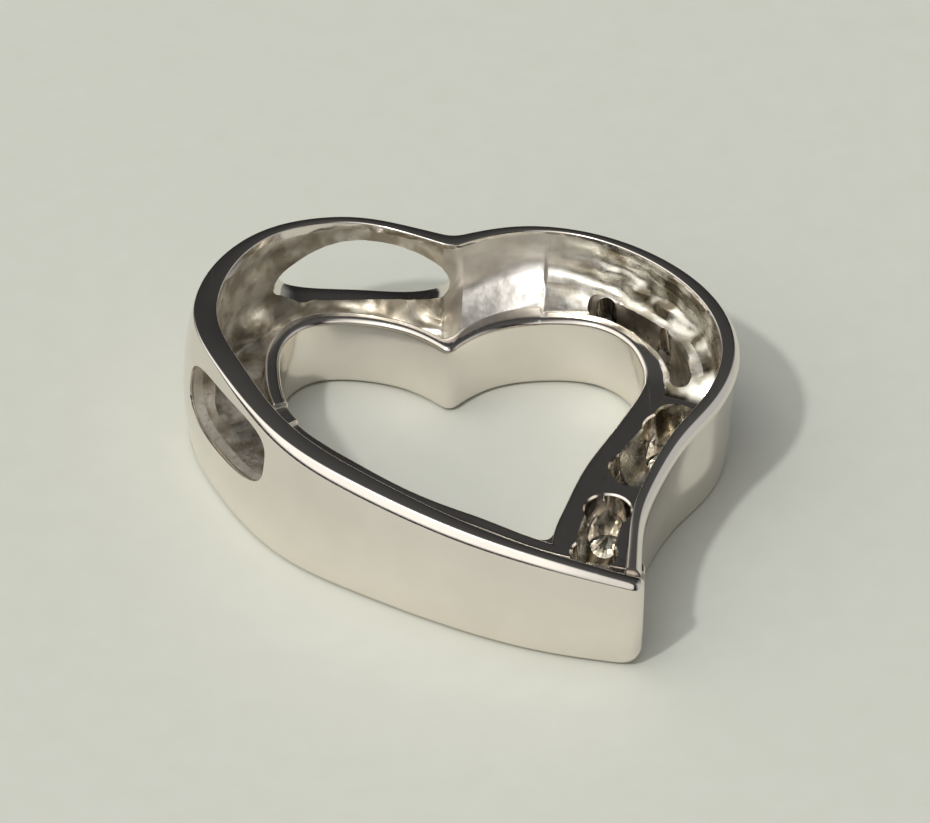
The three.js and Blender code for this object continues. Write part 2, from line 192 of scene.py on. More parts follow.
wire(skin_group, wave, "Fac", leave, "Wave")
wire(skin_group, grain, "Fac", leave, "Grain")
wire(skin_group, thin, "Result", leave, "Scratches")
print("skin group:", [s.name for s in skin_group.interface.items_tree])

# %% [markdown]
# ## Polished and as-cast metal, and two finishes with painted shade
# Outside, on the rims and on the flat plate the metal is polished to a mirror. Inside the shallow recess it
# stays satin, as it was cast. In the deep hollows the metal is mottled with darker patches of painted shade.
# Behind the stones the setter's tools have gone over the metal again, and it glints between dark patches of
# painted shade. All four are the same shader with the same skin, and only the numbers differ. The glinting
# finish meets the satin one on an even wall, so it begins lighter and duller, and its painted shade fades in
# to the right.

# %% Four finishes of one metal
def metal_finish(name, light, dark, patches, roughness, scales, scratch, bump, begins=None):
    """White metal with the skin driving its colour, roughness and relief."""
    made = bpy.data.materials.new(name)
    made.use_nodes = True
    tree = made.node_tree
    shader = tree.nodes["Principled BSDF"]
    shader.inputs["Metallic"].default_value = 1
    skin_node = tree.nodes.new("ShaderNodeGroup")
    skin_node.node_tree = skin_group
    skin_node.inputs["Wave Scale"].default_value, skin_node.inputs["Grain Scale"].default_value = scales

    # The darker colour is painted shade in the glinting and the hollow finishes, and random unevenness in the
    # polished and the as-cast ones.
    tint = colour_mix(tree, light, dark)
    patch = ramp(tree, skin_node, "Wave", *patches, 0, 1)
    wire(tree, patch, "Result", tint, "Factor")
    wire(tree, tint, "Result", shader, "Base Color")

    gloss = ramp(tree, skin_node, "Grain", *NOISE_SPREAD, *roughness)
    scuff = math_node(tree, "MULTIPLY_ADD", (skin_node, "Scratches"))
    scuff.inputs[1].default_value = scratch
    wire(tree, gloss, "Result", scuff, 2)
    wire(tree, scuff, "Value", shader, "Roughness")

    relief = tree.nodes.new("ShaderNodeBump")
    relief.inputs["Strength"].default_value, relief.inputs["Distance"].default_value = bump
    wire(tree, skin_node, "Grain", relief, "Height")
    wire(tree, relief, "Normal", shader, "Normal")

    # Along a direction the dark patches of painted shade fade in, the colour darkens a little from a lighter
    # start, and the extra roughness goes away.
    if begins:
        reached = ramp(tree, distance_node(tree, "Object", begins["towards"]), "Value", *begins["way"], 0, 1)
        wire(tree, reached, "Result", patch, "To Max")
        base = colour_mix(tree, begins["light"], light)
        wire(tree, reached, "Result", base, "Factor")
        wire(tree, base, "Result", tint, "A")
        matt = ramp(tree, reached, "Result", 0, 1, begins["duller"], 0)
        total = math_node(tree, "ADD", (scuff, "Value"), (matt, "Result"))
        wire(tree, total, "Value", shader, "Roughness")
    return made


polished = metal_finish(
    "polished white metal", light=(0.88, 0.83, 0.77), dark=(0.82, 0.77, 0.71), patches=NOISE_SPREAD,
    roughness=(0.09, 0.15), scales=(420, 7000), scratch=0.1, bump=(0.06, 0.01 * MM))
as_cast = metal_finish(
    "as-cast white metal", light=(0.94, 0.91, 0.86), dark=(0.80, 0.76, 0.70), patches=(0.36, 0.66),
    roughness=(0.34, 0.5), scales=(1100, 5200), scratch=0.05, bump=(0.4, 0.02 * MM))
# Glinting metal behind the stones: its dark patches are painted shade.
glinting_shaded_metal = metal_finish(
    "glinting white metal with painted shade", light=(0.84, 0.81, 0.72), dark=(0.20, 0.17, 0.12), patches=(0.42, 0.6),
    roughness=(0.2, 0.36), scales=(1000, 5200), scratch=0.05, bump=(0.3, 0.02 * MM),
    begins=dict(towards=(1, -0.5, 0), way=(-MM, 1.6 * MM), light=(0.84, 0.81, 0.75), duller=0.14))
# Metal in the deep hollows: its darker patches are painted shade.
hollow_shaded_metal = metal_finish(
    "white metal with painted shade in hollows", light=(0.92, 0.89, 0.82), dark=(0.52, 0.47, 0.39), patches=(0.4, 0.6),
    roughness=(0.26, 0.42), scales=(1300, 5200), scratch=0.05, bump=(0.35, 0.02 * MM))
FINISHES = (polished, as_cast, glinting_shaded_metal, hollow_shaded_metal)
POLISHED, AS_CAST, GLINTING_SHADED, HOLLOW_SHADED = range(4)
print("finishes:", [m.name for m in FINISHES])

# %% [markdown]
# ## The plan of the ribbon
# The heart is one ribbon that runs from the point up the right arm, over both lobes with a sharp cleft
# between them, and down the left arm to its free end. A curve could be drawn by hand and given a bevel,
# but the ribbon's section changes all the way, so the plan is a list of stations. Each gives the outer and
# the inner edge of the back, the height and width of the outer rim, how far the wall swells past the rim,
# and how much of a bevel the rim has. A curve with an even bend runs through them.

# %% Stations and the curve through them
# Outer x and y, inner x and y, rim height, rim width and swell in millimetres, from the cleft to the point,
# and the bevel's share of its full size.
PLAIN_ARM = np.array([
    (-0.4, 7.35, -0.5, 3.85, 4.8, 0.55, 0.3, 0.3),
    (-2.1, 7.95, -1.9, 4.95, 4.85, 0.4, 0.35, 0.3),
    (-4.2, 8.3, -4.0, 5.5, 4.9, 0.3, 0.4, 0.3),
    (-6.5, 7.55, -5.3, 5.2, 5.0, 0.4, 0.45, 0.3),
    (-8.1, 5.8, -5.95, 4.3, 5.05, 0.6, 0.45, 0.3),
    (-8.8, 3.0, -6.05, 2.9, 5.1, 0.75, 0.45, 0.3),
    (-8.0, 0.3, -5.75, 1.3, 5.15, 0.75, 0.45, 0.3),
    (-6.2, -2.6, -4.6, -0.4, 4.9, 0.65, 0.45, 0.75),
    (-3.6, -4.65, -2.3, -2.65, 4.45, 0.55, 0.45, 1),
    (-0.1, -6.55, 0.8, -4.5, 4.0, 0.42, 0.45, 0.95),
    (3.0, -7.75, 3.6, -5.7, 3.7, 0.32, 0.4, 0.8),
    (5.2, -8.28, 5.3, -6.2, 3.36, 0.3, 0.32, 0.65),
])
STONE_ARM = np.array([
    (-0.4, 7.35, -0.5, 3.85, 4.8, 0.55, 0.3, 1),
    (1.2, 7.9, 0.8, 5.0, 4.75, 0.35, 0.25, 1),
    (3.0, 8.0, 2.7, 5.45, 4.7, 0.25, 0.2, 1),
    (5.0, 7.35, 4.3, 5.25, 4.7, 0.3, 0.15, 1),
    (7.1, 5.9, 5.35, 4.4, 4.6, 0.4, 0.1, 1),
    (8.45, 3.8, 5.8, 3.4, 4.55, 0.45, 0.05, 1),
    (8.75, 1.7, 5.85, 2.5, 4.5, 0.42, 0, 1),
    (8.15, -0.3, 5.4, 1.3, 4.35, 0.37, 0, 1),
    (7.0, -2.0, 4.55, -0.35, 4.15, 0.34, 0, 1),
    (6.1, -3.75, 3.75, -2.0, 3.9, 0.32, 0, 1),
    (5.55, -5.4, 3.15, -3.75, 3.7, 0.31, 0, 1),
    (5.4, -6.7, 2.75, -5.35, 3.5, 0.3, 0, 1),
    (5.35, -7.6, 2.85, -7.05, 3.35, 0.3, 0, 1),
])
BEVEL_DROP = 0.28
BEVEL_OUT = 0.2
MEASURE_STEPS = 3000


def even_curve(rows):
    """A function through the rows with no jump in its bend, and the parameter at its end."""
    middle = (rows[:, 0:2] + rows[:, 2:4]) / 2
    knots = np.r_[0, np.cumsum(np.linalg.norm(np.diff(middle, axis=0), axis=1))]
    spans = np.diff(knots)
    slopes = np.diff(rows, axis=0) / spans[:, None]
    count = len(rows)
    system = np.eye(count)
    right = np.zeros_like(rows)
    for k in range(1, count - 1):
        system[k, k - 1:k + 2] = spans[k - 1], 2 * (spans[k - 1] + spans[k]), spans[k]
        right[k] = 6 * (slopes[k] - slopes[k - 1])
    bends = np.linalg.solve(system, right)

    def at(t):
        k = min(max(np.searchsorted(knots, t) - 1, 0), count - 2)
        a, b, h = knots[k + 1] - t, t - knots[k], spans[k]
        ends = (a * rows[k] + b * rows[k + 1]) / h
        bow = ((a ** 3 / h - a * h) * bends[k] + (b ** 3 / h - b * h) * bends[k + 1]) / 6
        return ends + bow

    return at, knots[-1]


class Arm:
    """One arm of the heart, read by the distance run along its middle or its rim."""

    def __init__(self, rows):
        self.curve, end = even_curve(rows)
        self.t = np.linspace(0, end, MEASURE_STEPS)
        points = np.array([self.curve(t) for t in self.t])
        self.middle_run = self.run_along((points[:, 0:2] + points[:, 2:4]) / 2)
        self.rim_run = self.run_along(points[:, 0:2])
        self.length = self.middle_run[-1]

    @staticmethod
    def run_along(points):
        return np.r_[0, np.cumsum(np.linalg.norm(np.diff(points, axis=0), axis=1))]

    def at_middle(self, run):
        return self.section(np.interp(run, self.middle_run, self.t))

    def at_rim(self, run):
        return self.section(np.interp(run, self.rim_run, self.t))

    def section(self, t):
        ox, oy, ix, iy, rim, rim_width, swell, bevel = self.curve(t)
        across = np.array([ix - ox, iy - oy])
        width = np.linalg.norm(across)
        return dict(at=np.array([ox, oy]), across=across / width, width=width,
                    rim=rim, rim_width=rim_width, swell=swell,
                    shoulder=rim - BEVEL_DROP * bevel, out=BEVEL_OUT * bevel)


plain_arm = Arm(PLAIN_ARM)
stone_arm = Arm(STONE_ARM)
print("arms run", round(plain_arm.length, 2), "and", round(stone_arm.length, 2), "mm along the middle")

# %% [markdown]
# ## Kinds of back
# A goldsmith would see five things in a cut through the ribbon: the swelling outer wall with a bright bevel
# under its rim, the flat face, the upright inner wall, its lower rim, and the back between the two rims.
# Along the heart the back changes from a flat plate to a shallow setting, to a sloping recess, to a deep
# hollow in the plain lobe, and to a plain slope. Each kind has its own numbers, and at a change they are
# blended over a short way.

# %% Where the back changes
# Kinds of back along the chain, from the point over the cleft, which is zero, to the free end. Then where
# each gives way to the next and over what length, in millimetres.
BACKS = ["plate", "setting", "recess", "lobe", "slope"]
CHANGES = [(-10.8, 0.9), (-3.35, 0.12), (0.0, 0.6), (11.9, 0.3)]
# The setting's skin grows rough over a longer way than its shape changes.
SKIN_CHANGES = [CHANGES[0], (-4.6, 2.4), *CHANGES[2:]]
PLATE = 2.5
# Feet of a hollow's two walls: distance from the outer or the inner edge of the back, and height.
OUTER_FOOT = dict(setting=(0.5, 3.2), recess=(0.5, 3.1), lobe=(0.15, 0.75))
INNER_FOOT = dict(setting=(0.62, 2.6), recess=(1.05, 2.1), lobe=(0.7, 0.75))
RECESS_RISE = 0.22
RECESS_MIDDLE = -1.7
INNER_RIM_WIDTH = dict(plate=0.5, setting=0.5, recess=0.85, lobe=0.5, slope=0.5)
# Rounding of the inner rim's edge and of a hollow's corners, unevenness of its skin, and the finishes of
# its floor and its outer wall.
INNER_EDGE = dict(plate=0.12, setting=0.2, recess=0.22, lobe=0.22, slope=0.12)
SCOOP = dict(plate=0.1, setting=0.3, recess=0.35, lobe=0.35, slope=0.3)
SKIN = dict(plate=0.004, setting=0.11, recess=0.04, lobe=0.11, slope=0.004)
# The glinting and the hollow finishes in these tables carry painted shade.
FLOOR_FINISH = dict(plate=POLISHED, setting=HOLLOW_SHADED, recess=AS_CAST, lobe=HOLLOW_SHADED, slope=POLISHED)
WALL_FINISH = dict(FLOOR_FINISH, setting=GLINTING_SHADED)


def ease(place, at, run):
    """Rises smoothly from 0 to 1 over a length."""
    x = min(max((place - at) / run + 0.5, 0), 1)
    return x * x * (3 - 2 * x)


def back_shares(place, changes=CHANGES):
    """Each kind of back and its share at a place along the chain."""
    eased = [1, *[ease(place, at, run) for at, run in changes], 0]
    return [(kind, eased[k] - eased[k + 1]) for k, kind in enumerate(BACKS)]


def blended(values, shares):
    return sum(share * values[kind] for kind, share in shares)


print("back at the cleft:", [(kind, round(share, 2)) for kind, share in back_shares(0) if share])

# %% [markdown]
# ## Corners of the back
# Five corners draw the back: two on the inner rim, two on the floor and one at the outer rim's inside. Each
# kind of back puts them in its own places. The inner rim lies lower than the outer one. It runs down to
# the plate towards the point, it is wider beside the pockets, and on the plain arm it has two filed steps.

# %% The five corners
INNER_RIM = 2.7
PLATE_LEAN = 0.2
PLATE_EDGE = 0.04
# Where the inner rim runs down to the plate on the stone arm and on the plain arm, and over what length.
STONE_ARM_FALL = 9.2, 3
PLAIN_ARM_FALL = 22.5, 3
# Where the stone arm's inner rim widens, over what length and by how much.
RIM_WIDENS = 9.5, 2.5
RIM_WIDER = 0.25
# Filed steps in the inner rim of the plain arm: place and drop. Each is steep and levels out slowly.
RIM_STEPS = [(11.95, 0.2), (13.05, 0.16)]
STEP_RUN = 0.08
STEP_END, STEP_END_RUN = 3, 5


def inner_level(place):
    """Height of the inner rim."""
    level = INNER_RIM - (INNER_RIM - PLATE) * (ease(-place, *STONE_ARM_FALL) + ease(place, *PLAIN_ARM_FALL))
    for at, drop in RIM_STEPS:
        level -= drop * (ease(place, at, STEP_RUN) - ease(place, at + STEP_END, STEP_END_RUN))
    return level


def back_corners(place, s, kind):
    """Inner rim's two corners, the floor's two corners and the outer rim's inner corner."""
    rim = (s["rim_width"], s["rim"])
    level = inner_level(place)
    inner = s["width"] - INNER_RIM_WIDTH[kind] - RIM_WIDER * ease(-place, *RIM_WIDENS)
    ends = [(s["width"], level), (inner, level)]
    if kind == "plate":
        floor = [(inner - PLATE_LEAN, PLATE), (rim[0] + PLATE_EDGE, PLATE)]
    elif kind == "slope":
        floor = [(inner + (rim[0] - inner) * t, level + (rim[1] - level) * t) for t in (1 / 3, 2 / 3)]
    else:
        lift = RECESS_RISE * (RECESS_MIDDLE - place) if kind == "recess" else 0
        (gap, low), (wall, high) = INNER_FOOT[kind], OUTER_FOOT[kind]
        floor = [(s["width"] - gap, low + lift), (wall, high + lift)]
    return np.array([*ends, *floor, rim])


print("inner rim at the filed steps:", [round(inner_level(at), 2) for at, drop in RIM_STEPS])

# %% [markdown]
# ## The whole outline of a section
# Four corners of the outside and five of the back make a closed line. Every corner is rounded, because no
# edge on a polished piece is sharp, and every run between two corners has a fixed number of points. So each
# section has the same points in the same order and can be joined to the next. The outer wall's run is a
# curve, and the rim's run has a slight crown, which keeps its reflections from looking like sheet metal.

# %% The rounded outline
SWELL_HEIGHT = 0.4
FOOT_TUCK = 0.12
# Rounding of the outer rim's two edges, the bevel's foot, the face's edges and a hollow's inner edge.
RIM_EDGE, RIM_INSIDE = 0.07, 0.06
SHOULDER_EDGE = 0.16
FACE_EDGE = 0.3
HOLLOW_EDGE = 0.09
ROUND_POINTS = 6
MOST_OF_SIDE = 0.48
# Points on the runs after each corner, counted from the outer rim, and the two special runs.
WALL_POINTS = 18
RIM_POINTS = 5
RUN_POINTS = [1, WALL_POINTS, 6, 5, 2, 6, 6, 14, RIM_POINTS]
WALL_RUN = 1
RIM_RUN = 8
WALL_TOP, WALL_FOOT = 0.2, 0.1
CROWN = 0.08
RIM_CROWN = np.array([(0, CROWN * t * (1 - t)) for t in np.linspace(0, 1, RIM_POINTS + 2)[1:-1]])
# Zones of the section: its outside, and the hollow's floor and outer wall.
OUTSIDE, FLOOR, WALL = range(3)
ARC_ZONES = {6: FLOOR, 7: WALL}
RUN_ZONES = {5: FLOOR, 6: FLOOR, 7: WALL}
SHARE_SEEN = 0.02
TINY = 1e-9


def rounded(before, corner, after, reach):
    """Points that round a corner off, starting and ending at most reach from it."""
    arms = [p - corner for p in (before, after)]
    lengths = [max(np.linalg.norm(a), TINY) for a in arms]
    start, end = [corner + a / n * min(reach, MOST_OF_SIDE * n) for a, n in zip(arms, lengths)]
    shares = np.linspace(0, 1, ROUND_POINTS)[:, None]
    return (1 - shares) ** 2 * start + 2 * shares * (1 - shares) * corner + shares ** 2 * end


def between(start, end, count):
    """Points strictly between two others."""
    shares = np.linspace(0, 1, count + 2)[1:-1, None]
    return (1 - shares) * start + shares * end


def wall_outside(s, z):
    """How far the outer wall's outside lies from the rim's edge at a height."""
    shoulder, out = s["shoulder"], s["out"]
    widest = s["rim"] * SWELL_HEIGHT
    if z > widest:
        t = min(max((shoulder - z) / (shoulder - widest), 0), 1)
        return -out - (s["swell"] - out) * (1 - (1 - t) ** 2)
    return -s["swell"] + FOOT_TUCK * ((widest - z) / (widest - FACE_EDGE)) ** 2


def profile(place, s):
    """Points across (u) and up (z) round the section, how rough each is, and its finish."""
    shares = back_shares(place)
    scoop = blended(SCOOP, shares)
    back = sum(share * back_corners(place, s, kind) for kind, share in shares)
    outside = [(0, s["rim"]), (-s["out"], s["shoulder"]), (FOOT_TUCK - s["swell"], 0), (s["width"], 0)]
    corners = np.array([*outside, *back])
    reaches = [RIM_EDGE, SHOULDER_EDGE, FACE_EDGE, FACE_EDGE, blended(INNER_EDGE, shares), HOLLOW_EDGE,
               scoop, scoop, RIM_INSIDE]
    levels = np.linspace(s["shoulder"] - WALL_TOP, FACE_EDGE + WALL_FOOT, WALL_POINTS)
    wall = np.array([(wall_outside(s, z), z) for z in levels])
    befores, afters = np.roll(corners, 1, axis=0), np.roll(corners, -1, axis=0)
    afters[WALL_RUN], befores[WALL_RUN + 1] = wall[0], wall[-1]
    arcs = [rounded(*each) for each in zip(befores, corners, afters, reaches)]
    line, zones = [], []
    for k, (arc, after, count) in enumerate(zip(arcs, arcs[1:] + arcs[:1], RUN_POINTS)):
        run = wall if k == WALL_RUN else between(arc[-1], after[0], count)
        line += [arc, run + RIM_CROWN * s["rim_width"] if k == RIM_RUN else run]
        zones += [ARC_ZONES.get(k, OUTSIDE)] * len(arc) + [RUN_ZONES.get(k, OUTSIDE)] * len(run)
    zones = np.array(zones)
    kinds = [kind for kind, share in shares if share > SHARE_SEEN]
    # The ramp from the plate to the setting gets the glinting finish, with its painted shade.
    floor_finish = GLINTING_SHADED if kinds == ["plate", "setting"] else FLOOR_FINISH[kinds[-1]]
    finishes = np.array([POLISHED, floor_finish, WALL_FINISH[kinds[-1]]])
    rough = (zones != OUTSIDE) * blended(SKIN, back_shares(place, SKIN_CHANGES))
    return np.vstack(line), rough, finishes[zones]


print("points in a section:", len(profile(5, plain_arm.at_middle(5))[0]))

# %% [markdown]
# ## Extruding the casting
# The first section is an open ring of edges. It is extruded again and again, and each new ring is moved to
# its own section, which is how a ribbon like this is also modelled by hand. Inside the hollows the points
# are pushed in and out a little along a noise, because the back of a casting is never as smooth as its
# front: that is where the photograph's scattered glints come from. At the free end the last rings draw
# together, which rounds it. The stone arm's end overlaps the band, so it is a second body for now.

# %% Rings along the chain
RING_STEP = 0.15
RING_GAP = 0.012
CLOSE_RINGS = 7
CLEFT_ROUND = 0.4
# How finely the skin's lumps and its grain are scaled along, across and up, and how high they are.
LUMP, LUMP_HEIGHT = Vector((0.5, 1.7, 1.7)), 1.3
GRAIN, GRAIN_HEIGHT = Vector((3.5, 5, 5)), 0.4
# Beads that the casting left in the hollows: place along the chain, distance across and height, and size.
BEADS = [(5.6, 0.25, 1.4, 0.4), (5.1, 0.25, 1.7, 0.3), (6.4, 0.25, 1.2, 0.5), (7.0, 0.3, 1.7, 0.35),
         (0.5, 0.35, 1.7, 0.4), (0.3, 0.4, 2.5, 0.3), (2.2, 1.2, 0.8, 0.4), (-6.4, 0.5, 3.3, 0.35),
         (-7.5, 0.55, 3.1, 0.3), (-9.2, 0.6, 3.0, 0.3), (-10.3, 1.9, 2.7, 0.25)]
BEAD_HEIGHT = 0.7
# Rounding of the band's free end: of its sides, its foot and its rim.
TIP_ROUND = np.array((0.35, 0.8, 0.4))
TIP_RUN = TIP_ROUND.max()
TIP_RINGS = 9
# Where the stone arm's end begins as a body of its own, and how far it reaches into the rest.
STUB_START = 17.0
STUB_LAP = 0.6


def skin(point, depth):
    """The uneven surface of a casting: lumps drawn out along the ribbon, finer grain, and a few beads."""
    lift = depth * (noise.noise(point * LUMP) * LUMP_HEIGHT + noise.noise(point * GRAIN) * GRAIN_HEIGHT)
    for *bead, size in BEADS:
        lift += BEAD_HEIGHT * size * math.exp(-((point - Vector(bead)).length / size) ** 2)
    return lift


def place_ring(place, s, past=0.0, drawn=(0, 0, 0)):
    """A section's points in the model's frame, in metres, and their finishes."""
    points, rough, cast = profile(place, s)
    side, foot, top = drawn
    left, right, high = points[:, 0].min(), points[:, 0].max(), points[:, 1].max()
    points[:, 0] = np.interp(points[:, 0], (left, right), (left + side, right - side))
    points[:, 1] = np.interp(points[:, 1], (0, high), (foot, high - top))
    along = np.array([s["across"][1], -s["across"][0]]) * past
    slant = np.roll(points, -1, axis=0) - np.roll(points, 1, axis=0)
    normal = np.stack([slant[:, 1], -slant[:, 0]], axis=1)
    normal /= np.maximum(np.linalg.norm(normal, axis=1), TINY)[:, None]
    ring = []
    for (u, z), (nu, nz), depth in zip(points, normal, rough):
        at = s["at"] + s["across"] * u + along
        lift = skin(Vector((place, u, z)), depth) if depth else 0
        at = at + s["across"] * nu * lift
        ring.append(Vector((*at, z + nz * lift)) * MM)
    return ring, cast


def arm_ring(place):
    """The ring at a place, negative on the stone arm and positive on the plain one."""
    return place_ring(place, stone_arm.at_middle(-place) if place < 0 else plain_arm.at_middle(place))


def chain_ring(place):
    """The same, with the corner at the cleft rounded."""
    if abs(place) >= CLEFT_ROUND:
        return arm_ring(place)
    (near, cast), (middle, _), (far, _) = (arm_ring(p) for p in (-CLEFT_ROUND, 0, CLEFT_ROUND))
    t = (place / CLEFT_ROUND + 1) / 2
    ring = [a * (1 - t) ** 2 + b * 2 * t * (1 - t) + c * t ** 2 for a, b, c in zip(near, middle, far)]
    return ring, cast


def tip_ring(share):
    """A ring of the free end's rounding, at a share of its length."""
    run = plain_arm.length + TIP_RUN * (share - 0.5)
    place = min(run, plain_arm.length)
    into = np.maximum(TIP_RUN * share - (TIP_RUN - TIP_ROUND), 0)
    drawn = TIP_ROUND - np.sqrt(TIP_ROUND ** 2 - np.minimum(into, TIP_ROUND) ** 2)
    return place_ring(place, plain_arm.at_middle(place), run - place, drawn)


def chain_places():
    """Places for the rings: even steps, and closer where the back changes."""
    even = np.arange(-stone_arm.length, plain_arm.length - TIP_RUN / 2, RING_STEP)
    changes = [*CHANGES, *[(at, STEP_RUN) for at, drop in RIM_STEPS], (0, 2 * CLEFT_ROUND)]
    close = [at + run * share for at, run in changes for share in np.linspace(-0.5, 0.5, CLOSE_RINGS)]
    kept = []
    for place in sorted({*even, *close}):
        if not kept or place - kept[-1] > RING_GAP:
            kept.append(place)
    return kept


def keep_mesh(name, body, finishes):
    """A new object from a finished bmesh."""
    bmesh.ops.recalc_face_normals(body, faces=body.faces)
    mesh = bpy.data.meshes.new(name)
    body.to_mesh(mesh)
    body.free()
    for finish in finishes:
        mesh.materials.append(finish)
    made = bpy.data.objects.new(name, mesh)
    scene.collection.objects.link(made)
    return made


def extrude_rings(name, rings):
    """A closed body extruded through rings, each with its points and their finishes."""
    body = bmesh.new()
    ring = [body.verts.new(p) for p in rings[0][0]]
    edges = [body.edges.new((ring[k - 1], ring[k])) for k in range(len(ring))]
    first_edges = list(edges)
    for points, finishes in rings[1:]:
        grown = bmesh.ops.extrude_edge_only(body, edges=edges)["geom"]
        new_verts = {g for g in grown if isinstance(g, bmesh.types.BMVert)}
        ring = [next(e.other_vert(v) for e in v.link_edges if e.other_vert(v) in new_verts) for v in ring]
        edges = [body.edges.get((ring[k - 1], ring[k])) for k in range(len(ring))]
        for vert, edge, point, finish in zip(ring, edges, points, finishes):
            vert.co = point
            edge.link_faces[0].material_index = int(finish)
    for loop in (first_edges, edges):
        bmesh.ops.edgeloop_fill(body, edges=loop)
    return keep_mesh(name, body, FINISHES)


places = chain_places()
ribbon_rings = [chain_ring(place) for place in places if place > -STUB_START]
ribbon_rings += [tip_ring(share) for share in np.sin(np.linspace(0, 0.5, TIP_RINGS) * math.pi)]
casting = extrude_rings("heart_casting", ribbon_rings)
stub = extrude_rings("arm_end", [chain_ring(place) for place in places if place < STUB_LAP - STUB_START])
print("casting:", len(ribbon_rings), "rings,", len(casting.data.polygons), "faces")

# %% [markdown]
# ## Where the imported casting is
# The stations are measured from a point inside the heart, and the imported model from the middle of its
# footprint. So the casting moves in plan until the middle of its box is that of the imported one.

# %% Move it there
cad_low, cad_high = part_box("heart_frame")
points = np.array([v.co for v in casting.data.vertices])
shift = (cad_low + cad_high) / 2 - Vector((points.min(0) + points.max(0)) / 2)
shift.z = 0
for piece in (casting, stub):
    piece.data.transform(Matrix.Translation(shift))
print("moved in plan by", [round(x / MM, 3) for x in shift], "mm")

# %% [markdown]
# ## Cutters for the chain slots
# A fine chain runs in at an oval slot in the top wall and out at another in the side. Each slot is cut by an
# oval body that goes straight through the wall. It follows the wall's outside and flares there, because a
# polisher breaks an edge like this: the thin rounded lip is what catches the light. The side slot's lip is
# almost sharp, just behind it the metal is left as it was cast, and deeper in it has painted shade.

# %% Cutters for the two chain slots
TOP_SLOT = dict(at=3.05, length=5.9, height=2.6, middle=2.85, tilt=-0.08, square=2.0, taper=0, reach=2.0,
                lip=1, finishes=(POLISHED, POLISHED, POLISHED))
# The side slot's inside finish has painted shade.
SIDE_SLOT = dict(at=15.55, length=5.1, height=2.35, middle=3.45, tilt=0.05, square=3.2, taper=0.15,
                 reach=1.5, lip=0.3, finishes=(POLISHED, AS_CAST, HOLLOW_SHADED))
SLOT_POINTS = 56
WALL_SAMPLES = 160
# Depths behind the wall's outside, and how much larger a full lip is there.
LIP_STEPS = [(-0.7, 0.2), (-0.03, 0.08), (0.015, 0.04), (0.06, 0.014), (0.12, 0)]
EDGE_DEPTH = 0.45


def signed_power(x, power):
    return math.copysign(abs(x) ** power, x)


def slot_cutter(name, at, length, height, middle, tilt, square, taper, reach, lip, finishes):
    """An oval cutter that goes straight through the wall, with a flared lip along its outside."""
    origin = plain_arm.at_rim(at)["at"]
    chord = plain_arm.at_rim(at + length / 4)["at"] - plain_arm.at_rim(at - length / 4)["at"]
    along = chord / np.linalg.norm(chord)
    inward = np.array([-along[1], along[0]])
    walls = [plain_arm.at_rim(run) for run in np.linspace(max(at - length, 0), at + length, WALL_SAMPLES)]

    def surface(a, z):
        points = np.array([s["at"] + s["across"] * wall_outside(s, z) for s in walls]) - origin
        return np.interp(a, points @ along, points @ inward)

    angles = np.linspace(0, 2 * math.pi, SLOT_POINTS, endpoint=False)
    power = 2 / square
    shape = [(signed_power(math.cos(t), power), signed_power(math.sin(t), power)) for t in angles]
    on_lip, on_edge, inside = finishes
    steps = [(depth, grow * lip, on_lip) for depth, grow in LIP_STEPS]
    steps += [(EDGE_DEPTH, 0, on_edge), (None, -taper, inside)]
    rings = []
    for depth, grow, finish in steps:
        ring = []
        for a, b in shape:
            run = a * (length / 2 + grow)
            z = middle + run * tilt + b * (height / 2 + grow)
            deep = reach if depth is None else surface(run, z) + depth
            at_plan = origin + along * run + inward * deep
            ring.append(Vector((*at_plan, z)) * MM + shift)
        rings.append((ring, [finish] * len(ring)))
    return extrude_rings(name, rings)


cutters = [slot_cutter("top_slot_cut", **TOP_SLOT), slot_cutter("side_slot_cut", **SIDE_SLOT)]
print("slot cutters:", [len(c.data.polygons) for c in cutters], "faces")

# %% [markdown]
# ## Cutters for the stone seats
# Each stone sits in a drilled seat: straight down to the girdle, then a cone under the stone, then a hole
# to the back. A drill turns, so the cutter is a line that is spun round the stone's axis. On the plate the
# hole flares. In the lobe it is narrow, and its upper end leans towards the inner rim.

# %% Turned cutters
STONE_SINK = 0.35
CROWN_SHARE, GIRDLE_SHARE, PAVILION_SHARE = 0.15, 0.03, 0.43
SEAT_CLEARANCE = 0.05
# Shares of the stone's width that the hole has at its neck and at its flare.
PLATE_HOLE, LOBE_HOLE = (0.8, 0.9), (0.4, 0.42)
LOBE_STONES = ("stone_1", "stone_2", "stone_3")
LOBE_SEAT_TOP = 3.5
LOBE_LEAN = 0.38
SEAT_STEPS = 48
# How far a cutter passes the face and the back, how much it flares there, and the broken edges.
SEAT_LEAD = 0.3
SEAT_PAST = 1.2
PAST_FLARE = 0.12
BROKEN = 0.06
BELOW_FACE, ABOVE_BACK = 0.01, 0.005
ARM_SAMPLES = 400
SAME_PLACE = 1e-7
stones = sorted(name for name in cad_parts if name.startswith("stone_"))


def arm_at(point):
    """The stone arm's section nearest to a point in plan."""
    runs = np.linspace(0, stone_arm.length, ARM_SAMPLES)
    middles = [s["at"] + s["across"] * s["width"] / 2 for s in map(stone_arm.at_middle, runs)]
    away = np.linalg.norm(np.array(middles) - np.array(point), axis=1)
    return stone_arm.at_middle(runs[away.argmin()])


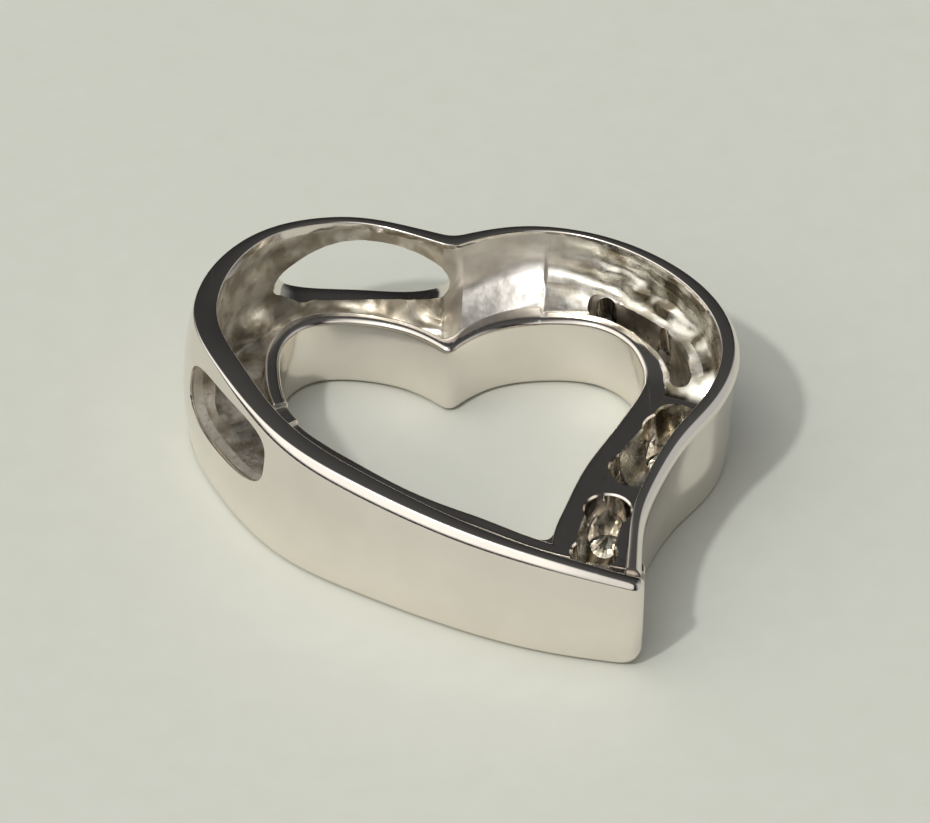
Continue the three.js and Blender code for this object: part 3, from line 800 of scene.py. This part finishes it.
def seat_line(diameter, in_lobe):
    """Radii and heights along the cutter's side, from the face to past the back."""
    wide = diameter / 2 + SEAT_CLEARANCE
    girdle = STONE_SINK + (CROWN_SHARE + GIRDLE_SHARE) * diameter
    point = girdle + PAVILION_SHARE * diameter + SEAT_CLEARANCE
    neck, flare = (diameter * share / 2 for share in (LOBE_HOLE if in_lobe else PLATE_HOLE))
    neck_top = girdle + (point - girdle) * (1 - neck / wide)
    line = [(0, -SEAT_LEAD), (wide + SEAT_LEAD, -SEAT_LEAD), (wide + BROKEN, -BELOW_FACE),
            (wide, BROKEN), (wide, girdle), (neck, neck_top)]
    if in_lobe:
        return line + [(neck, point), (flare, LOBE_SEAT_TOP), (0, LOBE_SEAT_TOP)]
    return line + [(flare, PLATE - BROKEN), (flare + BROKEN, PLATE + ABOVE_BACK),
                   (flare + PAST_FLARE, PLATE + SEAT_PAST), (0, PLATE + SEAT_PAST)]


def seat_cutter(name):
    """A cutter turned round a stone's axis."""
    low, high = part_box(name)
    middle = (low + high) / 2
    diameter = max(high.x - low.x, high.y - low.y) / MM
    in_lobe = name in LOBE_STONES
    body = bmesh.new()
    verts = [body.verts.new((r * MM + middle.x, middle.y, z * MM)) for r, z in seat_line(diameter, in_lobe)]
    edges = [body.edges.new(pair) for pair in zip(verts, verts[1:])]
    bmesh.ops.spin(body, geom=verts + edges, cent=(middle.x, middle.y, 0), axis=(0, 0, 1),
                   angle=2 * math.pi, steps=SEAT_STEPS, use_merge=True)
    bmesh.ops.remove_doubles(body, verts=body.verts, dist=SAME_PLACE)
    if in_lobe:
        across = arm_at((middle - shift).xy / MM)["across"]
        top = [v for v in body.verts if v.co.z > (LOBE_SEAT_TOP - BELOW_FACE) * MM]
        bmesh.ops.translate(body, verts=top, vec=Vector((*across, 0)) * LOBE_LEAN * MM)
    return keep_mesh(name + "_cut", body, FINISHES)


cutters += [seat_cutter(name) for name in stones]
print("seat cutters:", len(stones))

# %% [markdown]
# ## Cutters for the pockets
# Between the seats the metal is cut away from the back: a narrow trough in the lobe, which joins three
# seats, and two wide pockets in the plate, which join two each. A pocket's cutter is a channel with rounded
# ends that follows the arm. The trough lies nearer to the inner rim and leans with the setting's floor.

# %% Channels along the arm
# The pockets' finishes carry painted shade.
POCKETS = [
    dict(start=4.9, end=10.8, width=0.68, floor=1.0, aside=0.25, back=2.79, lean=0.35, finish=HOLLOW_SHADED),
    dict(start=11.5, end=15.95, width=1.35, floor=1.0, aside=0, back=PLATE, lean=0, finish=GLINTING_SHADED),
    dict(start=16.75, end=19.9, width=1.25, floor=1.0, aside=0, back=PLATE, lean=0, finish=GLINTING_SHADED),
]
POCKET_RINGS = 41
TROUGH_POINTS = 15
TROUGH_POWER = 1.5
# Square of the half width that is left at a pocket's very ends.
POCKET_SLIT = 4e-4


def pocket_cutter(start, end, width, floor, aside, back, lean, finish):
    """A long cutter with rounded ends that follows the stone arm's middle."""
    half = width / 2
    shares = np.sin(np.linspace(-0.5, 0.5, POCKET_RINGS) * math.pi)
    rings = []
    for place in (start + end) / 2 + shares * (end - start) / 2:
        s = stone_arm.at_middle(place)
        end_gap = min(place - start, end - place, half)
        side = math.sqrt(max(half ** 2 - (half - end_gap) ** 2, POCKET_SLIT))
        trough = [(side * math.sin(t), floor + (back - BROKEN - floor) * (1 - math.cos(t)) ** TROUGH_POWER)
                  for t in np.linspace(-0.5, 0.5, TROUGH_POINTS) * math.pi]
        outline = [*trough, (side + BROKEN, back + ABOVE_BACK), (side + PAST_FLARE, back + SEAT_PAST),
                   (-side - PAST_FLARE, back + SEAT_PAST), (-side - BROKEN, back + ABOVE_BACK)]
        outline = [(u, z - lean * u) for u, z in outline]
        middle = s["at"] + s["across"] * (s["width"] / 2 + aside)
        ring = [Vector((*(middle + s["across"] * u), z)) * MM + shift for u, z in outline]
        rings.append((ring, [finish] * len(ring)))
    return extrude_rings("pocket_cut", rings)


cutters += [pocket_cutter(**pocket) for pocket in POCKETS]
print("pocket cutters:", len(POCKETS))

# %% [markdown]
# ## A fillet between the arms
# Where the stone arm runs into the band, the caster leaves a small fillet in the corner of the open heart.
# The corner is found as the place where the two inner edges cross. A three-sided column with one hollow
# side fills it, from the face to just under the plate.

# %% Fillet in the corner of the open heart
FILLET = 0.55
FILLET_STEPS = 8
FILLET_DEEP = 0.6
FILLET_LAP = 0.15
FILLET_BELOW = 0.05
# The ends of both arms that are searched for the corner, and how far back their directions are taken.
BAND_FROM, STONES_FROM = 20, 16
EDGE_SAMPLES = 200
SAMPLES_BACK = 30


def inner_edge(arm, start):
    """Points along an arm's inner edge, from a place to its end."""
    sections = [arm.at_middle(run) for run in np.linspace(start, arm.length, EDGE_SAMPLES)]
    return np.array([s["at"] + s["across"] * s["width"] for s in sections])


band_edge = inner_edge(plain_arm, BAND_FROM)
stone_edge = inner_edge(stone_arm, STONES_FROM)
gaps = np.linalg.norm(band_edge[:, None] - stone_edge[None], axis=2)
near_band, near_stone = np.unravel_index(gaps.argmin(), gaps.shape)
corner = (band_edge[near_band] + stone_edge[near_stone]) / 2
ways = [band_edge[near_band - SAMPLES_BACK] - corner, stone_edge[near_stone - SAMPLES_BACK] - corner]
ways = [way / np.linalg.norm(way) for way in ways]
inside = corner - (ways[0] + ways[1]) * FILLET * FILLET_DEEP
shares = np.linspace(0, 1, FILLET_STEPS + 1)
arc = [corner + (ways[0] * (1 - t) ** 2 + ways[1] * t ** 2) * FILLET for t in shares]
arc = [arc[0] - ways[1] * FILLET_LAP, *arc, arc[-1] - ways[0] * FILLET_LAP, inside]
fillet_rings = [[Vector((*p, z)) * MM + shift for p in arc] for z in (FACE_EDGE, PLATE - FILLET_BELOW)]
fillet = extrude_rings("fillet", [(ring, [POLISHED] * len(ring)) for ring in fillet_rings])
print("fillet at", corner.round(2))

# %% [markdown]
# ## Joining and cutting
# The arm's end and the fillet are joined to the casting, and then every cutter is taken from it. Each step
# is a Boolean modifier that is applied before the next one. At the end doubled points are merged, and only
# edges sharper than a limit stay sharp, so that the curves shade smoothly.

# %% Join the arm's end and cut everything
SHARP = math.radians(38)


def combine(piece, tool, operation):
    """Applies one Boolean to a piece and clears the tool away."""
    step = piece.modifiers.new("step", "BOOLEAN")
    step.operation = operation
    step.solver = "MANIFOLD"
    step.object = tool
    before = piece.data
    piece.data = bpy.data.meshes.new_from_object(piece.evaluated_get(bpy.context.evaluated_depsgraph_get()))
    piece.modifiers.clear()
    bpy.data.meshes.remove(before)
    bpy.data.meshes.remove(tool.data)


for addition in (stub, fillet):
    combine(casting, addition, "UNION")
for cutter in cutters:
    combine(casting, cutter, "DIFFERENCE")
casting.data.name = "heart_casting"

body = bmesh.new()
body.from_mesh(casting.data)
bmesh.ops.remove_doubles(body, verts=body.verts, dist=SAME_PLACE)
bmesh.ops.dissolve_degenerate(body, edges=body.edges, dist=SAME_PLACE)
open_edges = [e for e in body.edges if not e.is_manifold]
print("cut casting:", len(body.faces), "faces,", len(open_edges), "open edges,",
      round(body.calc_volume() / MM ** 3, 1), "mm3")
body.to_mesh(casting.data)
body.free()
casting.data.shade_smooth()
casting.data.set_sharp_from_angle(angle=SHARP)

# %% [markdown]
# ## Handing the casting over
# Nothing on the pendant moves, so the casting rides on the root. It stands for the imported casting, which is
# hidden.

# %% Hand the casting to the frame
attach(casting, "root")
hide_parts("heart_frame")
print("heart_casting stands for heart_frame")

# %% [markdown]
# ## Stones
# The stones are cut brilliants, seen from behind through their open seats. Their facets come from the packed
# model and stay flat. Clear stones with a high refraction throw back whatever is bright around them, so the
# material is a strongly refracting glass with a faint olive tint and a film of polish here and there.

# %% Cut stone
cut_stone = bpy.data.materials.new("cut stone")
cut_stone.use_nodes = True
tree = cut_stone.node_tree
shader = tree.nodes["Principled BSDF"]
shader.inputs["Transmission Weight"].default_value = 1
shader.inputs["IOR"].default_value = 2.15
cloud = noise_node(tree, 3, 1400)
stone_tint = colour_mix(tree, (0.96, 0.95, 0.90), (0.84, 0.82, 0.70))
wire(tree, cloud, "Fac", stone_tint, "Factor")
wire(tree, stone_tint, "Result", shader, "Base Color")
film = ramp(tree, cloud, "Fac", *NOISE_SPREAD, 0, 0.04)
wire(tree, film, "Result", shader, "Roughness")
for name in stones:
    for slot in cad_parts[name].material_slots:
        slot.material = cut_stone
print("stones:", len(stones))

# %% [markdown]
# ## Floor
# The pendant lies on a plain pale sheet. The floor is one large grid just under the face, so that the two
# never share a plane. Its faint mottling is the sheet's own.

# %% Pale sheet
FLOOR_DROP = 0.02 * MM
FLOOR_SIZE = 0.4
ground = bmesh.new()
bmesh.ops.create_grid(ground, x_segments=1, y_segments=1, size=FLOOR_SIZE)
bmesh.ops.translate(ground, verts=ground.verts, vec=(0, 0, -FLOOR_DROP))
sheet = bpy.data.materials.new("pale sheet")
sheet.use_nodes = True
tree = sheet.node_tree
shader = tree.nodes["Principled BSDF"]
shader.inputs["Roughness"].default_value = 0.6
shader.inputs["Specular IOR Level"].default_value = 0.25
mottle = noise_node(tree, 6, 900)
tone = colour_mix(tree, (0.57, 0.575, 0.50), (0.61, 0.615, 0.545))
wire(tree, mottle, "Fac", tone, "Factor")
wire(tree, tone, "Result", shader, "Base Color")
floor = keep_mesh("floor", ground, [sheet])
print("floor:", floor.name)

# %% [markdown]
# ## The room
# Mirror metal is lit by what it reflects. The rims and the plate look up and back, where the room is dark,
# and so they are nearly black. The band and the inner wall look down at the pale sheet. The bevel and the
# hollows see a large white panel on the left and a smaller one in front, and so they are bright. A faint
# glow on the right keeps the outside of the stone arm from going dark. All of it is painted on the world:
# each panel is a soft spot round its direction, and the left one ends a little above the horizon.

# %% Dark room with two panels
PANEL_TOWARDS = Vector((-0.9, -0.3, 0.42)).normalized()
PANEL_EDGE = 0.3, 0.75
PANEL_LIFT = 0.14, 0.3
PANEL_LIGHT = 1.2, 1.18, 1.13
FRONT_TOWARDS = Vector((-0.2, -1, 0.6)).normalized()
FRONT_EDGE = 0.87, 0.95
FRONT_SHARE = 0.65
GLOW_EDGE = 0.5, 0.95
GLOW = 0.5
CEILING_EDGE = 0.4, 0.95
CEILING = 0.02, 0.085

world = bpy.data.worlds.new("studio")
scene.world = world
world.use_nodes = True
tree = world.node_tree
sky = tree.nodes.new("ShaderNodeTexCoord")
axes = tree.nodes.new("ShaderNodeSeparateXYZ")
wire(tree, sky, "Generated", axes, "Vector")
to_panel = distance_node(tree, "Generated", PANEL_TOWARDS)
fade = ramp(tree, to_panel, "Value", *PANEL_EDGE, 0, 1, smooth=True)
lifted = ramp(tree, axes, "Z", *PANEL_LIFT, 0, 1, smooth=True)
panel = math_node(tree, "MULTIPLY", (fade, "Result"), (lifted, "Result"))
to_front = distance_node(tree, "Generated", FRONT_TOWARDS)
front = ramp(tree, to_front, "Value", *FRONT_EDGE, 0, FRONT_SHARE, smooth=True)
panels = math_node(tree, "MAXIMUM", (panel, "Value"), (front, "Result"))
glow = ramp(tree, axes, "X", *GLOW_EDGE, 0, GLOW, smooth=True)
ceiling = ramp(tree, axes, "Z", *CEILING_EDGE, *CEILING)
dim = math_node(tree, "ADD", (glow, "Result"), (ceiling, "Result"))
room = colour_mix(tree, (0, 0, 0), PANEL_LIGHT)
wire(tree, dim, "Value", room, "A")
wire(tree, panels, "Value", room, "Factor")
wire(tree, room, "Result", tree.nodes["Background"], "Color")
print("room:", world.name)

# %% [markdown]
# ## Lamps
# A small round lamp gives the crisp shadow. A wide one overhead softens it, and it doesn't show in the metal
# or in the stones.

# %% Key and fill
def lamp(name, towards, distance, size, energy):
    """A round lamp that points at the pendant."""
    light = bpy.data.lights.new(name, "AREA")
    light.shape = "DISK"
    light.size = size
    light.energy = energy
    made = bpy.data.objects.new(name, light)
    made.location = Vector(towards).normalized() * distance
    made.rotation_euler = made.location.to_track_quat("Z", "Y").to_euler()
    scene.collection.objects.link(made)
    return made


key = lamp("key", towards=(-0.56, -0.55, 1.0), distance=0.8, size=0.05, energy=2.35)
fill = lamp("fill", towards=(0, 0, 1), distance=0.8, size=0.9, energy=2.1)
fill.data.color = (0.95, 0.98, 1.05)
fill.visible_glossy = False
fill.visible_transmission = False
print("lamps:", key.name, fill.name)
